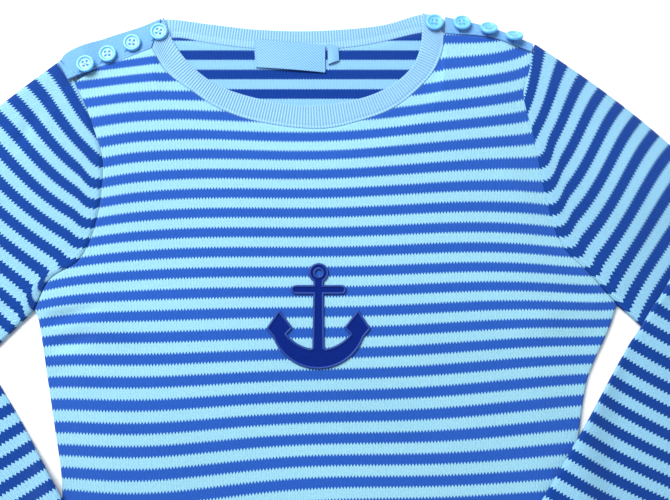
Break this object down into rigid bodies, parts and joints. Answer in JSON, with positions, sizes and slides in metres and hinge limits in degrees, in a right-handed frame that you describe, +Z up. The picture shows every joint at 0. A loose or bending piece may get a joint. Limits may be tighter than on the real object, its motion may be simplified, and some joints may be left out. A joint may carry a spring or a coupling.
{
  "type": "striped sweater laid flat",
  "caption": "Fine-knit striped sweater laid flat with folded-back sleeves, ribbed scoop neck, buttoned shoulder plackets and a small chest applique.",
  "frame": {"origin": "centre of the laid garment's footprint, on the surface it lies on", "axes": "+Z up off the surface, +Y from hem to neck, +X to the viewer's right (the wearer's left sleeve)"},
  "size_m": [0.6119, 0.572, 0.0129],
  "materials": {
    "knit": "fine cotton stockinette, pale and mid blue stripes",
    "rib": "fine one-by-one rib, pale blue",
    "button": "satin, four holes",
    "label": "woven satin tape",
    "applique": "dark blue cloth with stitched edge"
  },
  "bodies": {
    "root": {"body_front": "knit", "body_back": "knit", "sleeve_left": "knit", "sleeve_right": "knit", "neckband_front": "rib", "neckband_back": "rib", "placket_left": "rib", "placket_right": "rib", "button_stand_left": "rib", "button_stand_right": "rib", "button_left_1": "button", "button_left_2": "button", "button_left_3": "button", "button_left_4": "button", "button_right_1": "button", "button_right_2": "button", "button_right_3": "button", "button_right_4": "button", "neck_label": "label", "size_tab": "label", "applique_anchor": "applique"}
  },
  "joints": []
}
